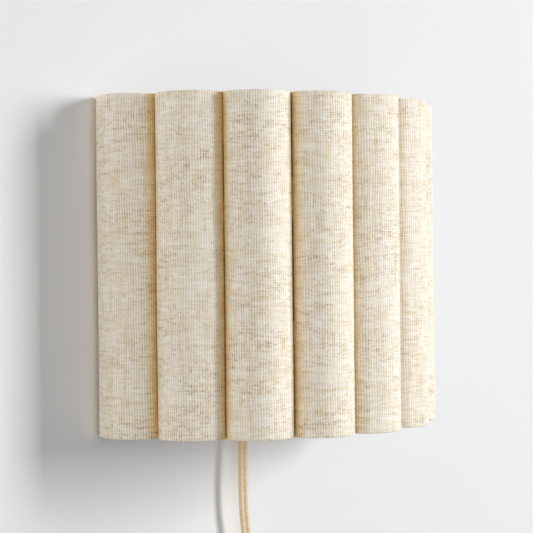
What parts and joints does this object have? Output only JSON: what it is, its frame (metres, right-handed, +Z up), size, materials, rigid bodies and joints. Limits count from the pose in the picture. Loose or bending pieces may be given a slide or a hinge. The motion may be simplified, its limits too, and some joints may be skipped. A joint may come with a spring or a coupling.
{
  "type": "fabric shade wall light",
  "caption": "Half-drum wall light with a scalloped linen shade that hangs on a wall plate, a bent arm with a globe bulb, and a textile cord with switch and plug.",
  "frame": {"origin": "midway between the two wall screws, on the back face of the wall plate", "axes": "+Y into the wall, so the light stands out towards -Y; +Z up; +X to the right as seen from the room"},
  "size_m": [0.3038, 0.1539, 0.523],
  "materials": {
    "linen": "natural linen, cream with tan slubs",
    "liner": "white styrene lining",
    "frame_wire": "white powder-coated wire",
    "white_steel": "satin white powder coat",
    "zinc_steel": "zinc-plated steel",
    "nylon": "natural nylon",
    "gland": "moulded",
    "brass": "satin brass",
    "lampholder": "white thermoplastic",
    "insulator": "pressed insulator",
    "bulb_metal": "bright screw cap",
    "bulb_black": "black glass insulator",
    "bulb_glass": "clear",
    "phosphor": "yellow phosphor coating",
    "textile_cord": "braided textile, brown-gold",
    "tie": "woven strap",
    "switch_plastic": "ivory moulding",
    "plug_plastic": "ivory moulding",
    "plug_metal": "nickel-plated",
    "lead_insulation": "brown insulation"
  },
  "bodies": {
    "wall_unit": {"wall_plate": "white_steel", "shade_hooks": "white_steel", "canopy_cover": "white_steel", "canopy_posts": "zinc_steel", "canopy_screws": "zinc_steel", "terminal_screws": "zinc_steel", "switch_screws": "zinc_steel", "terminal_block": "nylon", "gland_nut": "nylon", "cord_gland": "gland", "arm_tube": "brass", "arm_collar": "brass", "arm_nut": "brass", "terminal_barrels": "brass", "thread_sleeve": "brass", "centre_contact": "brass", "switch_contacts": "brass", "rocker_pin": "brass", "lampholder_cap": "lampholder", "lampholder_barrel": "lampholder", "lampholder_ring": "lampholder", "lampholder_core": "insulator", "supply_cord": "textile_cord", "switch_lead": "textile_cord", "plug_lead": "textile_cord", "cord_coil": "textile_cord", "cord_tie": "tie", "switch_front": "switch_plastic", "switch_back": "switch_plastic", "plug_body": "plug_plastic", "plug_relief": "plug_plastic", "plug_pins": "plug_metal", "supply_leads": "lead_insulation", "lamp_leads": "lead_insulation"},
    "shade": {"shade_fabric": "linen", "shade_liner": "liner", "top_wire": "frame_wire", "bottom_wire": "frame_wire", "left_upright": "frame_wire", "right_upright": "frame_wire", "top_back_bar": "frame_wire", "hanging_bar": "frame_wire", "bottom_back_bar": "frame_wire"},
    "bulb_core": {"bulb_contact": "bulb_metal", "bulb_insulator": "bulb_black", "bulb_stem": "bulb_glass"},
    "bulb": {"bulb_cap": "bulb_metal", "bulb_glass": "bulb_glass", "led_filaments": "phosphor"},
    "rocker": {"switch_rocker": "switch_plastic"}
  },
  "joints": [
    {"name": "shade_lift", "type": "slide", "parent": "wall_unit", "child": "shade", "axis": [0, 0, 1], "range_m": [0, 0.01]},
    {"name": "bulb_rise", "type": "slide", "parent": "wall_unit", "child": "bulb_core", "axis": [0, 0, 1], "range_m": [0, 0.0142]},
    {"name": "bulb_turn", "type": "hinge", "parent": "bulb_core", "child": "bulb", "pos_m": [0, -0.072, 0], "axis": [0, 0, 1], "range_deg": [0, 1800]},
    {"name": "switch_rock", "type": "hinge", "parent": "wall_unit", "child": "rocker", "pos_m": [0, -0.0195, -0.243], "axis": [1, 0, 0], "range_deg": [-18, 0]}
  ],
  "couplings": [
    {"joint": "bulb_rise", "follows": "bulb_turn", "m_per_rad": 0.00044882}
  ]
}
